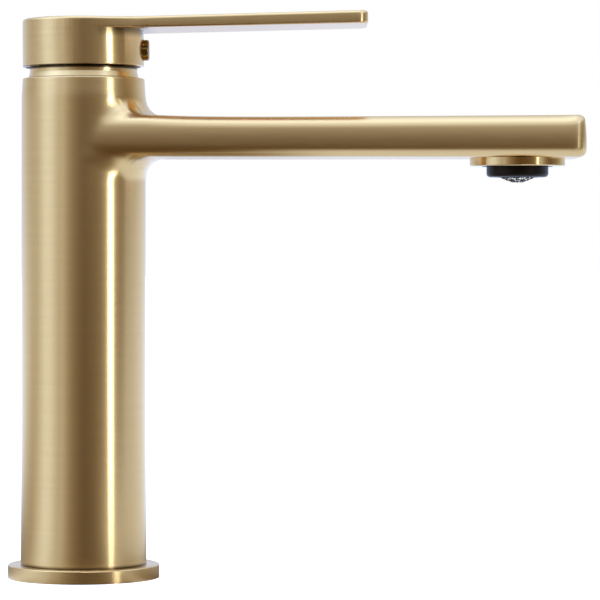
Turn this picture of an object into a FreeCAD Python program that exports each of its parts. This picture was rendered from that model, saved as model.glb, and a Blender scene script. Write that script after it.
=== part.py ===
import FreeCAD, Part
import math
import os
import re
import Sketcher

# A single-lever bathroom mixer: a tall round column with a flat cast spout, a 35 mm ceramic
# disc cartridge inside its head, a cap with a blade lever above, and a tilting aerator.
# Millimetres. +X runs along the spout, +Z up, the origin is the centre of the base's underside.

SIZES = {
    # deck flange and its gasket
    "flange_radius": 27.5,
    "flange_height": 4.8,
    "flange_bore": 20.2,
    "flange_break": 0.4,
    "gasket_inner": 21.5,
    "gasket_outer": 25.5,
    "gasket_height": 1.8,
    # column
    "column_radius": 22.5,
    "foot_radius": 22.85,
    "foot_blend_top": 60.0,
    "shoulder_start": 174.5,
    "shoulder_radius": 22.1,
    "column_top": 181.3,
    "rim_round": 0.5,
    "hollow_radius": 18.0,
    "spigot_radius": 20.0,
    "spigot_bottom": 1.2,
    "lug_offset": 12.5,
    "lug_radius": 5.5,
    "lug_bottom": 6.0,
    "lug_top": 24.0,
    "stud_hole": 3.33,
    "stud_depth": 16.0,
    # cartridge pocket and its water ways
    "seat_underside": 118.0,
    "seat_level": 145.0,
    "pocket_radius": 17.7,
    "inlet_thread": 4.46,
    "inlet_thread_depth": 14.0,
    "port_radius": 3.0,
    "port_forward": 4.5,
    "port_spread": 7.0,
    # spout
    "spout_bottom": 152.4,
    "spout_top": 166.5,
    "spout_tip_top": 167.6,
    "spout_tip": 181.8,
    "spout_slope": 0.0155,
    "spout_root_half": 22.3,
    "spout_corner": 5.0,
    "spout_round": 2.4,
    "root_reach": 38.3,
    "channel_bottom": 155.2,
    "channel_height": 7.3,
    "channel_half": 11.0,
    # aerator
    "aerator_axis": 157.9,
    "collar_radius": 17.3,
    "collar_bottom": 149.35,
    "collar_lip": 13.1,
    "collar_step": 151.0,
    "collar_bore": 14.0,
    "collar_thread": 15.1,
    "collar_top": 158.4,
    "collar_break": 0.35,
    "socket_seat": 159.0,
    "chamber_radius": 13.0,
    "ball_level": 154.5,
    "ball_radius": 12.3,
    "socket_gap": 0.15,
    "aerator_inner": 11.0,
    "socket_top": 157.2,
    "gasket_bore": 12.7,
    "knob_top": 157.7,
    "knob_radius": 11.23,
    "knob_bottom": 145.5,
    "knob_round": 1.25,
    "knob_bore": 9.6,
    "knob_lip": 7.7,
    "knob_lip_top": 147.3,
    "mesh_radius": 7.2,
    "mesh_sag": 143.6,
    "mesh_middle": 2.9,
    "mesh_middle_rise": 0.3,
    "mesh_outer": 5.4,
    "mesh_outer_rise": 1.1,
    "mesh_edge_rise": 2.4,
    "mesh_sheet": 0.5,
    "mesh_flange": 0.8,
    "jet_thickness": 5.0,
    "jet_hole": 0.75,
    "screen_rise": 1.6,
    "insert_gap": 0.1,
    # cartridge
    "pivot_level": 169.0,
    "base_radius": 16.8,
    "base_thickness": 3.5,
    "base_spigot": 15.3,
    "disc_seat": 150.0,
    "seal_radius": 4.2,
    "seal_depth": 2.0,
    "outlet_offset": 5.0,
    "outlet_radius": 3.4,
    "fixed_disc_radius": 15.1,
    "fixed_disc_thickness": 3.0,
    "disc_port": 2.6,
    "water_film": 0.02,
    "moving_disc_radius": 11.5,
    "moving_disc_top": 156.0,
    "cavity_front": 1.2,
    "cavity_back": 7.0,
    "cavity_half": 7.8,
    "cavity_depth": 1.4,
    "coupler_plate": 1.9,
    "coupler_half": 8.0,
    "coupler_top": 163.5,
    "housing_inner": 15.4,
    "housing_outer": 16.8,
    "housing_step": 158.0,
    "housing_flange": 17.5,
    "housing_flange_bottom": 163.0,
    "housing_shoulder": 168.0,
    "housing_neck": 15.2,
    "housing_top": 174.5,
    "rotor_chamber": 13.9,
    "rotor_ceiling": 172.3,
    "groove_radius": 16.2,
    "groove_bottom": 164.2,
    "groove_height": 2.4,
    "rotor_radius": 13.6,
    "rotor_bottom": 158.3,
    "rotor_web": 164.3,
    "rotor_shoulder": 172.0,
    "rotor_neck": 11.0,
    "rotor_top": 176.5,
    "running_gap": 0.06,
    "rotor_slot_back": 8.8,
    "rotor_slot_front": 6.2,
    "rotor_slot_half": 4.1,
    "limit_ring_outer": 14.9,
    "limit_ring_height": 1.2,
    "pin_radius": 1.5,
    "pin_length": 25.0,
    "stem_half": 4.0,
    "stem_top": 197.8,
    "stem_drop": 2.6,
    "arm_length": 7.5,
    "arm_radius": 1.5,
    "ball_end": 2.5,
    "ball_gap": 0.15,
    "nut_outer": 17.65,
    "nut_inner": 15.3,
    "nut_top": 176.0,
    "nut_slot": 3.0,
    "nut_slot_depth": 3.0,
    # neck ring under the cap
    "neck_radius": 19.5,
    "neck_foot": 20.1,
    "neck_flare_top": 183.4,
    "neck_inner": 16.6,
    "neck_spigot": 17.6,
    "neck_spigot_bottom": 176.6,
    "neck_top": 185.4,
    "neck_break": 0.3,
    # lever handle, drawn level about the stem and then leaned
    "lean": 0.5,
    "cap_radius": 22.0,
    "cap_offset": 0.1,
    "cap_bottom": 185.5,
    "cap_back_top": 202.44,
    "cap_wall": 1.15,
    "cap_ceiling": 198.4,
    "cap_round": 1.1,
    "rim_break": 0.3,
    "blade_half": 17.5,
    "blade_tip_half": 15.6,
    "blade_slope": 0.232,
    "blade_tip": 103.6,
    "blade_tip_top": 204.46,
    "blade_corner": 4.0,
    "blade_waist": 30.0,
    "blade_root_under": 198.68,
    "blade_tip_under": 199.78,
    "blade_break": 0.6,
    "boss_radius": 6.8,
    "boss_bottom": 188.5,
    "stem_fit": 0.05,
    "screw_level": 191.45,
    "lug_front": 18.0,
    "lug_half": 4.5,
    "screw_radius": 2.5,
    "screw_length": 8.0,
    "screw_socket": 1.25,
    "screw_socket_depth": 3.0,
    "plug_hole": 4.0,
    "plug_radius": 3.8,
    "plug_stem": 2.9,
    "plug_stem_back": 13.0,
    "plug_head_back": 20.4,
    "plug_face": 24.1,
    "plug_dome": 0.8,
}

document = FreeCAD.newDocument("mixer")
sheet = document.addObject("Spreadsheet::Sheet", "Sizes")
for row, (alias, number) in enumerate(SIZES.items(), start=1):
    sheet.set("A%d" % row, alias)
    sheet.set("B%d" % row, str(number))
    sheet.setAlias("B%d" % row, alias)
document.recompute()


class Size:
    """A number together with the expression that works it out from the sheet's cells."""

    def __init__(self, number, text):
        self.number = number
        self.text = text

    def joined(self, sign, other, number, swapped=False):
        left, right = (other, self) if swapped else (self, other)
        return Size(number, "(%s %s %s)" % (as_size(left).text, sign, as_size(right).text))

    def __add__(self, other):
        return self.joined("+", other, self.number + as_size(other).number)

    def __radd__(self, other):
        return self.joined("+", other, self.number + as_size(other).number, swapped=True)

    def __sub__(self, other):
        return self.joined("-", other, self.number - as_size(other).number)

    def __rsub__(self, other):
        return self.joined("-", other, as_size(other).number - self.number, swapped=True)

    def __mul__(self, other):
        return self.joined("*", other, self.number * as_size(other).number)

    def __rmul__(self, other):
        return self.joined("*", other, self.number * as_size(other).number, swapped=True)

    def __truediv__(self, other):
        return self.joined("/", other, self.number / as_size(other).number)

    def __neg__(self):
        return Size(-self.number, "(-1 * %s)" % self.text)


def as_size(value):
    """Read a plain number as a size, and leave a size as it is."""
    return value if isinstance(value, Size) else Size(float(value), str(value))


def root(value):
    """The square root of a size."""
    return Size(math.sqrt(value.number), "sqrt(%s)" % value.text)


class Dimensions:
    """The sheet's cells by name: size.column_radius is the cell with that alias."""

    def __getattr__(self, alias):
        return Size(float(sheet.get(alias)), "Sizes.%s" % alias)


size = Dimensions()
JET_ROWS = ((1, 0.0), (6, 2.6), (12, 5.2), (18, 7.6))  # holes in the jet disc and their circle's radius
MARGIN = 1.0  # how far a cutting tool runs past the face that it opens
sub_parts = []


# ---------------------------------------------------------------- building blocks

def new_body(label, x=0.0):
    """One separate piece of the mixer, whose own axis stands at x."""
    body = document.addObject("PartDesign::Body", label)
    body.Label = label
    body.setExpression("Placement.Base.x", as_size(x).text)
    sub_parts.append(body)
    return body


def origin_plane(body, role):
    return next(item for item in body.Origin.OriginFeatures if item.Role == role)


def outline(body, plane, points, level=0.0):
    """A closed outline on one of the body's planes, each corner bound to its two sizes."""
    sketch = body.newObject("Sketcher::SketchObject", "Outline")
    sketch.AttachmentSupport = [(origin_plane(body, plane), "")]
    sketch.MapMode = "FlatFace"
    sketch.setExpression("AttachmentOffset.Base.z", as_size(level).text)
    corners = [(as_size(across), as_size(up)) for across, up in points]
    places = [FreeCAD.Vector(across.number, up.number, 0) for across, up in corners]
    for start, end in zip(places, places[1:] + places[:1]):
        sketch.addGeometry(Part.LineSegment(start, end), False)
    for index in range(len(places)):
        following = (index + 1) % len(places)
        sketch.addConstraint(Sketcher.Constraint("Coincident", index, 2, following, 1))
    for index, pair in enumerate(corners):
        for kind, value in zip(("DistanceX", "DistanceY"), pair):
            rule = Sketcher.Constraint(kind, -1, 1, index, 1, value.number)
            sketch.setExpression("Constraints[%d]" % sketch.addConstraint(rule), value.text)
    return sketch


def circle(body, plane, radius, centre, level=0.0):
    """A circle on one of the body's planes, bound to its radius and its centre."""
    sketch = body.newObject("Sketcher::SketchObject", "Circle")
    sketch.AttachmentSupport = [(origin_plane(body, plane), "")]
    sketch.MapMode = "FlatFace"
    sketch.setExpression("AttachmentOffset.Base.z", as_size(level).text)
    across, up = (as_size(value) for value in centre)
    middle = FreeCAD.Vector(across.number, up.number, 0)
    sketch.addGeometry(Part.Circle(middle, FreeCAD.Vector(0, 0, 1), radius.number), False)
    rules = (("Radius", (0,), radius), ("DistanceX", (-1, 1, 0, 3), across),
             ("DistanceY", (-1, 1, 0, 3), up))
    for kind, places, value in rules:
        rule = Sketcher.Constraint(kind, *places, value.number)
        sketch.setExpression("Constraints[%d]" % sketch.addConstraint(rule), value.text)
    return sketch


def turn(body, points, kind="Revolution"):
    """Turn an outline of (radius, height) corners about the body's Z axis: added or, as a Groove, cut."""
    sketch = outline(body, "XZ_Plane", points)
    feature = body.newObject("PartDesign::" + kind, kind)
    feature.Profile = sketch
    feature.ReferenceAxis = (sketch, ["V_Axis"])
    feature.Angle = 360.0
    document.recompute()
    return feature


def ring(body, inner, outer, bottom, top, kind="Revolution"):
    """A plain ring, or a disc where the inner radius is 0."""
    return turn(body, [(inner, bottom), (outer, bottom), (outer, top), (inner, top)], kind)


def slice_top(body, points):
    """Cut an outline drawn on the XZ plane right through the body, both ways."""
    sketch = outline(body, "XZ_Plane", points)
    cut = body.newObject("PartDesign::Pocket", "Slice")
    cut.Profile = sketch
    cut.Type = "ThroughAll"
    cut.Midplane = True
    document.recompute()
    return cut


def shape(body, kind, at, turned=None, **sizes):
    """A primitive such as SubtractiveCylinder, with its corner or its end's centre at the given point."""
    feature = body.newObject("PartDesign::" + kind, kind)
    for name, value in sizes.items():
        feature.setExpression(name, as_size(value).text)
    if turned:
        axis, angle = turned
        feature.Placement = FreeCAD.Placement(FreeCAD.Vector(), FreeCAD.Rotation(axis, angle))
    for letter, value in zip("xyz", at):
        feature.setExpression("Placement.Base." + letter, as_size(value).text)
    document.recompute()
    return feature


ALONG_X = (FreeCAD.Vector(0, 1, 0), 90)
ALONG_Y = (FreeCAD.Vector(1, 0, 0), -90)


def drill(body, radius, length, at, turned=None):
    """A round hole that starts at a point and runs along +Z, or along the axis it is turned to."""
    return shape(body, "SubtractiveCylinder", at, turned, Radius=radius, Height=length)


def rod(body, radius, length, at, turned=None):
    return shape(body, "AdditiveCylinder", at, turned, Radius=radius, Height=length)


def box(body, kind, low, high):
    """A box between two corners, added or cut."""
    low = [as_size(value) for value in low]
    spans = [as_size(top) - bottom for bottom, top in zip(low, high)]
    return shape(body, kind + "Box", low, Length=spans[0], Width=spans[1], Height=spans[2])


def round_edges(body, radius, chosen, kind="Fillet"):
    """Round or break the edges of the body that the test picks out."""
    document.recompute()
    tip = body.Tip
    names = ["Edge%d" % number for number, edge in enumerate(tip.Shape.Edges, start=1) if chosen(edge)]
    if not names:
        raise ValueError("no edge to round on " + body.Label)
    feature = body.newObject("PartDesign::" + kind, kind)
    feature.Base = (tip, names)
    feature.setExpression("Radius" if kind == "Fillet" else "Size", as_size(radius).text)
    document.recompute()
    return feature


def near(value, target):
    return abs(value - as_size(target).number) < 0.01


def on_circle(radius, level):
    """A test for a circular edge about the body's own axis, at a height."""
    def chosen(edge):
        points = edge.discretize(5)
        axis = edge_axis(edge)
        return all(near(math.hypot(p.x - axis, p.y), radius) and near(p.z, level) for p in points)
    return chosen


def edge_axis(edge):
    """The x of a round edge's centre, or 0 for an edge that isn't round."""
    return edge.Curve.Center.x if isinstance(edge.Curve, Part.Circle) else 0.0


def run_out(slope, radius):
    """Where a line with this fall leaves a circle without a corner, and its height above the centre."""
    stretch = root(1 + slope * slope)
    return radius * slope / stretch, radius / stretch, radius * stretch


# ---------------------------------------------------------------- fixed body

def make_casting():
    """The column and the spout in one casting, with the cartridge pocket and the water ways."""
    body = new_body("body_casting")
    tip_half = size.spout_root_half - size.spout_slope * size.spout_tip
    plan = [(0, -size.spout_root_half), (size.spout_tip, -tip_half), (size.spout_tip, tip_half),
            (0, size.spout_root_half)]
    pad = body.newObject("PartDesign::Pad", "Pad")
    pad.Profile = outline(body, "XY_Plane", plan, size.spout_bottom)
    pad.setExpression("Length", (size.spout_tip_top - size.spout_bottom + MARGIN).text)
    above = size.spout_tip_top + 2 * MARGIN
    slice_top(body, [(-MARGIN, size.spout_top), (size.root_reach, size.spout_top),
                     (size.spout_tip, size.spout_tip_top), (size.spout_tip + MARGIN, size.spout_tip_top),
                     (size.spout_tip + MARGIN, above), (-MARGIN, above)])
    round_edges(body, size.spout_corner, lambda edge: upright(edge) and edge.CenterOfMass.x > tip_limit())
    round_edges(body, size.spout_round, lambda edge: along_spout(edge))
    turn(body, [(0, size.spigot_bottom), (size.spigot_radius, size.spigot_bottom),
                (size.spigot_radius, size.flange_height), (size.foot_radius, size.flange_height),
                (size.column_radius, size.foot_blend_top), (size.column_radius, size.shoulder_start),
                (size.shoulder_radius, size.column_top), (0, size.column_top)])
    round_edges(body, size.rim_round, on_circle(size.shoulder_radius, size.column_top))
    hollow_out(body)
    return body


def hollow_out(body):
    """The hose space with its stud lug, the two inlets, the cartridge pocket and the way to the aerator."""
    ring(body, 0, size.hollow_radius, size.spigot_bottom - MARGIN, size.seat_underside, "Groove")
    ring(body, 0, size.pocket_radius, size.seat_level, size.column_top + MARGIN, "Groove")
    side = size.lug_radius
    box(body, "Additive", (-size.hollow_radius - MARGIN, -side, size.lug_bottom),
        (-size.lug_offset, side, size.lug_top))
    rod(body, side, size.lug_top - size.lug_bottom, (-size.lug_offset, 0, size.lug_bottom))
    drill(body, size.stud_hole, size.stud_depth + MARGIN, (-size.lug_offset, 0, size.lug_bottom - MARGIN))
    for spread in (size.port_spread, -size.port_spread):
        below = (size.port_forward, spread, size.seat_underside - MARGIN)
        drill(body, size.inlet_thread, size.inlet_thread_depth + MARGIN, below)
        drill(body, size.port_radius, size.seat_level - size.seat_underside + 2 * MARGIN, below)
    channel_top = size.channel_bottom + size.channel_height
    start = size.pocket_radius - 2 * MARGIN
    box(body, "Subtractive", (start, -size.channel_half, size.channel_bottom),
        (size.aerator_axis, size.channel_half, channel_top))
    bottom = size.spout_bottom - MARGIN
    for radius, top in ((size.collar_thread + size.insert_gap, size.socket_seat),
                        (size.chamber_radius, channel_top)):
        drill(body, radius, top - bottom, (size.aerator_axis, 0, bottom))


def along_spout(edge):
    """Whether an edge runs along the spout's flanks or round its tip, at its top or its underside."""
    slope = size.spout_slope.number
    half = size.spout_root_half
    corner = size.spout_tip.number - size.spout_corner.number - 0.01
    if upright(edge):
        return False
    return all(near(abs(p.y) + slope * p.x, half) or p.x > corner for p in edge.discretize(7))


def tip_limit():
    return size.spout_tip.number - MARGIN


def upright(edge):
    box = edge.BoundBox
    return box.ZLength > 0.9 * edge.Length


def make_base():
    """The ring that the column stands on, and the gasket let into its underside."""
    flange = new_body("base_flange")
    ring(flange, size.flange_bore, size.flange_radius, 0, size.flange_height)
    round_edges(flange, size.flange_break, on_circle(size.flange_radius, size.flange_height))
    ring(flange, size.gasket_inner, size.gasket_outer, -MARGIN, size.gasket_height, "Groove")
    ring(new_body("base_gasket"), size.gasket_inner, size.gasket_outer, 0, size.gasket_height)


def make_cartridge_shell():
    """The cartridge parts that stay still: base, seals, fixed disc, housing, limit ring and nut."""
    base = new_body("cartridge_base")
    top = size.seat_level + size.base_thickness
    turn(base, [(0, size.seat_level), (size.base_radius, size.seat_level), (size.base_radius, top),
                (size.base_spigot, top), (size.base_spigot, size.disc_seat), (0, size.disc_seat)])
    rise = size.disc_seat - size.seat_level + 2 * MARGIN
    for name, spread in (("hot_inlet_seal", size.port_spread), ("cold_inlet_seal", -size.port_spread)):
        below = (size.port_forward, spread, size.seat_level - MARGIN)
        drill(base, size.seal_radius, size.seal_depth + MARGIN, below)
        drill(base, size.port_radius, rise, below)
        seal = new_body(name, size.port_forward)
        seal.setExpression("Placement.Base.y", spread.text)
        ring(seal, size.port_radius, size.seal_radius, size.seat_level, size.seat_level + size.seal_depth)
    drill(base, size.outlet_radius, rise, (-size.outlet_offset, 0, size.seat_level + size.seal_depth))
    box(base, "Subtractive", (-size.base_radius - MARGIN, -size.outlet_radius, size.seat_level + MARGIN),
        (-size.outlet_offset, size.outlet_radius, size.seat_level + size.seal_depth + MARGIN / 2))

    disc = new_body("fixed_ceramic_disc")
    disc_top = size.disc_seat + size.fixed_disc_thickness
    ring(disc, 0, size.fixed_disc_radius, size.disc_seat, disc_top)
    through = size.fixed_disc_thickness + 2 * MARGIN
    for spread in (size.port_spread, -size.port_spread):
        drill(disc, size.disc_port, through, (size.port_forward, spread, size.disc_seat - MARGIN))
    drill(disc, size.outlet_radius, through, (-size.outlet_offset, 0, size.disc_seat - MARGIN))

    housing = new_body("cartridge_housing")
    opening = size.rotor_neck + size.running_gap
    turn(housing, [(size.housing_inner, top), (size.housing_outer, top),
                   (size.housing_outer, size.housing_flange_bottom),
                   (size.housing_flange, size.housing_flange_bottom),
                   (size.housing_flange, size.housing_shoulder), (size.housing_neck, size.housing_shoulder),
                   (size.housing_neck, size.housing_top), (opening, size.housing_top),
                   (opening, size.rotor_ceiling), (size.rotor_chamber, size.rotor_ceiling),
                   (size.rotor_chamber, size.housing_step), (size.housing_inner, size.housing_step)])
    groove_top = size.groove_bottom + size.groove_height
    ring(housing, size.groove_radius, size.housing_flange + MARGIN, size.groove_bottom, groove_top, "Groove")
    ring(new_body("housing_seal"), size.groove_radius, size.pocket_radius, size.groove_bottom, groove_top)

    limit = new_body("temperature_limit_ring")
    limit_bore = size.rotor_neck + 3 * size.running_gap
    limit_top = size.housing_top + size.limit_ring_height
    ring(limit, limit_bore, size.limit_ring_outer, size.housing_top, limit_top)

    nut = new_body("cartridge_nut")
    ring(nut, size.nut_inner, size.nut_outer, size.housing_shoulder, size.nut_top)
    half = size.nut_slot / 2
    reach = size.nut_outer + MARGIN
    bottom = size.nut_top - size.nut_slot_depth
    for low, high in (((-reach, -half), (reach, half)), ((-half, -reach), (half, reach))):
        box(nut, "Subtractive", (*low, bottom), (*high, size.nut_top + MARGIN))


def make_neck_ring():
    """The bright ring seen between the column and the cap."""
    neck = new_body("neck_ring")
    turn(neck, [(size.neck_inner, size.neck_spigot_bottom), (size.neck_spigot, size.neck_spigot_bottom),
                (size.neck_spigot, size.column_top), (size.neck_foot, size.column_top),
                (size.neck_radius, size.neck_flare_top),
                (size.neck_radius, size.neck_top), (size.neck_inner, size.neck_top)])
    round_edges(neck, size.neck_break, on_circle(size.neck_radius, size.neck_top))


def make_collar():
    """The polished collar under the spout, with the socket and the washer that hold the aerator's ball."""
    collar = new_body("aerator_collar", size.aerator_axis)
    turn(collar, [(size.collar_lip, size.collar_bottom), (size.collar_radius, size.collar_bottom),
                  (size.collar_radius, size.spout_bottom), (size.collar_thread, size.spout_bottom),
                  (size.collar_thread, size.collar_top), (size.collar_bore, size.collar_top),
                  (size.collar_bore, size.collar_step), (size.collar_lip, size.collar_step)])
    round_edges(collar, size.collar_break, on_circle(size.collar_radius, size.collar_bottom))

    socket = new_body("aerator_socket", size.aerator_axis)
    ring(socket, size.aerator_inner, size.collar_bore, size.collar_step, size.socket_top)
    ball = socket.newObject("PartDesign::SubtractiveSphere", "Ball")
    ball.setExpression("Radius", (size.ball_radius + size.socket_gap).text)
    ball.setExpression("Placement.Base.z", size.ball_level.text)
    washer = new_body("aerator_washer", size.aerator_axis)
    ring(washer, size.gasket_bore, size.collar_bore, size.socket_top, size.socket_seat)


# ---------------------------------------------------------------- moving bodies

def make_aerator():
    """The black ball-shaped knob that tilts, with the jet disc and the two screens inside it."""
    knob = new_body("aerator_knob", size.aerator_axis)
    ball = knob.newObject("PartDesign::AdditiveSphere", "Ball")
    ball.setExpression("Radius", size.ball_radius.text)
    ball.setExpression("Placement.Base.z", size.ball_level.text)
    drop = root(size.ball_radius * size.ball_radius - size.knob_radius * size.knob_radius)
    wide = size.ball_radius + MARGIN
    ring(knob, 0, wide, size.knob_top, size.ball_level + wide, "Groove")
    ring(knob, 0, wide, size.ball_level - wide, size.ball_level - drop, "Groove")
    ring(knob, 0, size.knob_radius, size.knob_bottom, size.ball_level - drop)
    ring(knob, 0, size.knob_lip, size.knob_bottom - MARGIN, size.knob_lip_top + MARGIN, "Groove")
    ring(knob, 0, size.knob_bore, size.knob_lip_top, size.knob_top + MARGIN, "Groove")
    round_edges(knob, size.knob_round, on_circle(size.knob_radius, size.knob_bottom))

    fit = size.knob_bore - size.insert_gap
    flange_top = size.knob_lip_top + size.mesh_flange
    mesh = new_body("aerator_mesh", size.aerator_axis)
    inner = size.mesh_radius - size.mesh_sheet
    dome = [(0, size.mesh_sag), (size.mesh_middle, size.mesh_sag + size.mesh_middle_rise),
            (size.mesh_outer, size.mesh_sag + size.mesh_outer_rise)]
    edge_level = size.mesh_sag + size.mesh_edge_rise
    turn(mesh, dome + [(size.mesh_radius, edge_level), (size.mesh_radius, size.knob_lip_top),
                       (fit, size.knob_lip_top), (fit, flange_top), (inner, flange_top),
                       (inner, edge_level + size.mesh_sheet)]
         + [(radius, level + size.mesh_sheet) for radius, level in reversed(dome)])

    jets = new_body("aerator_jet_disc", size.aerator_axis)
    jet_top = flange_top + size.jet_thickness
    ring(jets, 0, fit, flange_top, jet_top)
    for count, radius in JET_ROWS:
        for step in range(count):
            angle = math.radians(360 * step / count)
            place = (radius * math.cos(angle), radius * math.sin(angle), flange_top - MARGIN)
            drill(jets, size.jet_hole, size.jet_thickness + 2 * MARGIN, place)

    screen = new_body("aerator_inlet_screen", size.aerator_axis)
    sheet_top = jet_top + size.mesh_sheet
    shoulder = fit - size.screen_rise
    turn(screen, [(fit, jet_top), (fit, sheet_top), (shoulder, sheet_top), (0, sheet_top + size.screen_rise),
                  (0, jet_top + size.screen_rise), (shoulder, jet_top)])


def make_rotor():
    """The rotor that turns in the housing for temperature, and the pin that the stem tilts on."""
    rotor = new_body("spindle_rotor")
    turn(rotor, [(0, size.rotor_bottom), (size.rotor_radius, size.rotor_bottom),
                 (size.rotor_radius, size.rotor_shoulder), (size.rotor_neck, size.rotor_shoulder),
                 (size.rotor_neck, size.rotor_top), (0, size.rotor_top)])
    box(rotor, "Subtractive", (-size.rotor_slot_back, -size.rotor_slot_half, size.rotor_bottom - MARGIN),
        (size.rotor_slot_front, size.rotor_slot_half, size.rotor_top + MARGIN))
    guide = size.coupler_half + size.ball_gap
    reach = size.rotor_radius + MARGIN
    box(rotor, "Subtractive", (-reach, -guide, size.rotor_bottom - MARGIN), (reach, guide, size.rotor_web))
    drill(rotor, size.pin_radius, 2 * reach, (0, -reach, size.pivot_level), ALONG_Y)
    pin = new_body("spindle_pin")
    rod(pin, size.pin_radius, size.pin_length, (0, -size.pin_length / 2, size.pivot_level), ALONG_Y)


def make_moving_disc():
    """The ceramic disc that slides over the ports, and the coupler that the stem's ball drives."""
    disc = new_body("moving_ceramic_disc")
    bottom = size.disc_seat + size.fixed_disc_thickness + size.water_film
    ring(disc, 0, size.moving_disc_radius, bottom, size.moving_disc_top)
    box(disc, "Subtractive", (-size.cavity_back, -size.cavity_half, bottom - MARGIN),
        (size.cavity_front, size.cavity_half, bottom + size.cavity_depth))
    coupler = new_body("disc_coupler")
    plate_top = size.moving_disc_top + size.coupler_plate
    ring(coupler, 0, size.moving_disc_radius, size.moving_disc_top, plate_top)
    half = size.coupler_half
    box(coupler, "Additive", (-half, -half, plate_top - MARGIN), (half, half, size.coupler_top))
    ball_middle = size.pivot_level - size.arm_length
    lean = math.radians(size.lean.number)
    start = size.arm_length * math.sin(lean)
    bottom = ball_middle - size.ball_end - MARGIN / 2
    drill(coupler, size.ball_end + size.ball_gap, size.coupler_top - bottom + MARGIN, (start, 0, bottom))


def lean_over(body):
    """Lean a piece of the lever about the stem's pin, towards +X and up."""
    level = FreeCAD.Rotation(FreeCAD.Vector(0, -1, 0), size.lean.number)
    body.Placement = FreeCAD.Placement(FreeCAD.Vector(), level)
    body.setExpression("Placement.Rotation.Angle", "Sizes.lean * 1 deg")
    body.setExpression("Placement.Base.x", "Sizes.pivot_level * sin(Sizes.lean * 1 deg)")
    body.setExpression("Placement.Base.z", "Sizes.pivot_level * (1 - cos(Sizes.lean * 1 deg))")
    return body


def make_stem():
    """The square stem with its ball-ended arm below the pin."""
    stem = lean_over(new_body("lever_stem"))
    half = size.stem_half
    shoulder = size.pivot_level - size.stem_drop
    box(stem, "Additive", (-half, -half, shoulder), (half, half, size.stem_top))
    ball_middle = size.pivot_level - size.arm_length
    rod(stem, size.arm_radius, size.arm_length - size.stem_drop + MARGIN, (0, 0, ball_middle))
    ball = stem.newObject("PartDesign::AdditiveSphere", "Ball")
    ball.setExpression("Radius", size.ball_end.text)
    ball.setExpression("Placement.Base.z", ball_middle.text)
    reach = half + MARGIN
    drill(stem, size.pin_radius + size.running_gap, 2 * reach, (0, -reach, size.pivot_level), ALONG_Y)


def make_handle():
    """The cap and the blade lever in one casting, with the boss that grips the stem."""
    handle = lean_over(new_body("lever_handle"))
    centre = size.cap_offset
    touch_x, touch_y, flank = run_out(size.blade_slope, size.cap_radius)
    waist = centre + (flank - size.blade_half) / size.blade_slope
    side = size.blade_half
    tip_side = size.blade_tip_half
    plan = [(centre, 0), (centre + touch_x, -touch_y), (waist, -side), (size.blade_tip, -tip_side),
            (size.blade_tip, tip_side), (waist, side), (centre + touch_x, touch_y)]
    under = size.blade_root_under - MARGIN
    above = size.blade_tip_top + MARGIN
    pad = handle.newObject("PartDesign::Pad", "Blade")
    pad.Profile = outline(handle, "XY_Plane", plan, under)
    pad.setExpression("Length", (above - under).text)
    slice_top(handle, [(-MARGIN, under - MARGIN), (size.blade_tip + MARGIN, under - MARGIN),
                       (size.blade_tip + MARGIN, size.blade_tip_under),
                       (size.blade_tip, size.blade_tip_under), (size.cap_radius, size.blade_root_under),
                       (-MARGIN, size.blade_root_under)])
    tip = size.blade_tip.number
    round_edges(handle, size.blade_corner, lambda edge: upright(edge) and edge.CenterOfMass.x > tip - 0.1)
    round_edges(handle, size.blade_waist, lambda edge: upright(edge) and near(edge.CenterOfMass.x, waist))
    round_edges(handle, size.blade_break, lambda edge: blade_underside(edge, flank.number, waist.number))
    cap = handle.newObject("PartDesign::Pad", "Cap")
    cap.Profile = circle(handle, "XY_Plane", size.cap_radius, (centre, 0), size.cap_bottom)
    cap.setExpression("Length", (above - size.cap_bottom).text)
    back, front = size.cap_radius + MARGIN, size.blade_tip + MARGIN
    slice_top(handle, [(-back, size.cap_back_top), (front, size.blade_tip_top), (front, above + MARGIN),
                       (-back, above + MARGIN)])
    round_edges(handle, size.cap_round, lambda edge: edge.BoundBox.ZMin > size.cap_back_top.number)
    round_edges(handle, size.rim_break, on_circle(size.cap_radius, size.cap_bottom))
    inside = size.cap_radius - size.cap_wall
    drill(handle, inside, size.cap_ceiling - size.cap_bottom + MARGIN, (centre, 0, size.cap_bottom - MARGIN))
    rod(handle, size.boss_radius, size.cap_ceiling - size.boss_bottom + MARGIN, (0, 0, size.boss_bottom))
    box(handle, "Additive", (0, -size.lug_half, size.boss_bottom),
        (size.lug_front, size.lug_half, size.cap_ceiling + MARGIN))
    grip = size.stem_half + size.stem_fit
    box(handle, "Subtractive", (-grip, -grip, size.boss_bottom - MARGIN), (grip, grip, size.stem_top))
    drill(handle, size.screw_radius, size.plug_stem_back, (0, 0, size.screw_level), ALONG_X)
    drill(handle, size.plug_stem, size.lug_front, (size.plug_stem_back, 0, size.screw_level), ALONG_X)
    wall_back = size.lug_front + MARGIN
    drill(handle, size.plug_hole, size.cap_radius, (wall_back, 0, size.screw_level), ALONG_X)
    return handle


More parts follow.
